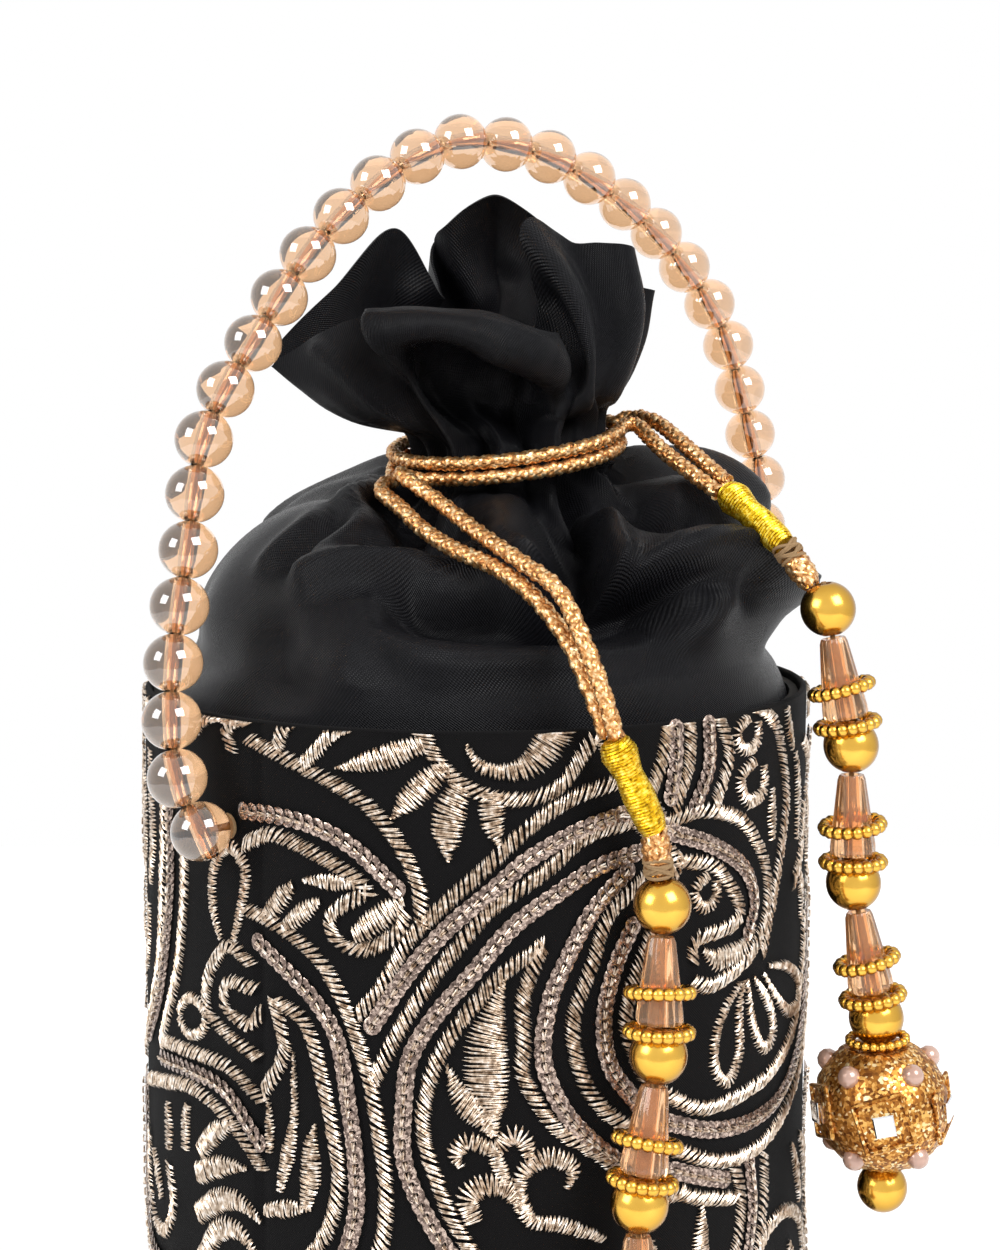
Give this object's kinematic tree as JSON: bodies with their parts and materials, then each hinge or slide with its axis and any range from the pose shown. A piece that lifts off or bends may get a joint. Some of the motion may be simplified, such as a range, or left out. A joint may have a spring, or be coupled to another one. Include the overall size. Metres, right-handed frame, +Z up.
{
  "type": "potli bag",
  "caption": "Round embroidered bucket pouch with a gathered satin top, two beaded drawstring tassels and an arched glass bead handle.",
  "frame": {"origin": "centre of the base, on the plane the bag stands on", "axes": "+Z up along the drum's axis, -Y toward the front with the long tassel, +X toward the side with the short tassel"},
  "size_m": [0.1391, 0.138, 0.2411],
  "materials": {
    "embroidered_cloth": "matt",
    "card": "matt",
    "lining_cloth": "matt",
    "black_satin": "satin",
    "rose_gold_braid": "satin",
    "gold_thread": "gloss",
    "beige_thread": "matt",
    "gold_plate": "polished",
    "peach_glass": "gloss",
    "copper_glitter": "glitter"
  },
  "bodies": {
    "bag": {"drum_sleeve": "embroidered_cloth", "base_disc": "card", "drum_card": "card", "lining_bag": "lining_cloth", "satin_puff": "black_satin", "satin_ruffle": "black_satin", "left_stitch_ring": "beige_thread", "right_stitch_ring": "beige_thread", "left_drawstring": "rose_gold_braid", "right_drawstring": "rose_gold_braid", "left_binding": "gold_thread", "left_knot": "beige_thread", "left_string": "beige_thread", "left_gold_bead_1": "gold_plate", "left_cone_1": "peach_glass", "left_upper_ring_1": "gold_plate", "left_lower_ring_1": "gold_plate", "left_gold_bead_2": "gold_plate", "left_cone_2": "peach_glass", "left_upper_ring_2": "gold_plate", "left_lower_ring_2": "gold_plate", "left_gold_bead_3": "gold_plate", "left_cone_3": "peach_glass", "left_upper_ring_3": "gold_plate", "left_lower_ring_3": "gold_plate", "left_gold_bead_4": "gold_plate", "left_cap_ring": "gold_plate", "left_mirror_ball": "copper_glitter", "left_end_bead": "gold_plate", "right_binding": "gold_thread", "right_knot": "beige_thread", "right_string": "beige_thread", "right_gold_bead_1": "gold_plate", "right_cone_1": "peach_glass", "right_upper_ring_1": "gold_plate", "right_lower_ring_1": "gold_plate", "right_gold_bead_2": "gold_plate", "right_cone_2": "peach_glass", "right_upper_ring_2": "gold_plate", "right_lower_ring_2": "gold_plate", "right_gold_bead_3": "gold_plate", "right_cone_3": "peach_glass", "right_upper_ring_3": "gold_plate", "right_lower_ring_3": "gold_plate", "right_gold_bead_4": "gold_plate", "right_cap_ring": "gold_plate", "right_mirror_ball": "copper_glitter", "right_end_bead": "gold_plate"},
    "handle": {"handle_beads": "peach_glass"}
  },
  "joints": [
    {"name": "handle_swing", "type": "hinge", "parent": "bag", "child": "handle", "pos_m": [0, 0, 0.122], "axis": [0.6691, 0.7431, 0], "range_deg": [-120, 120]}
  ]
}
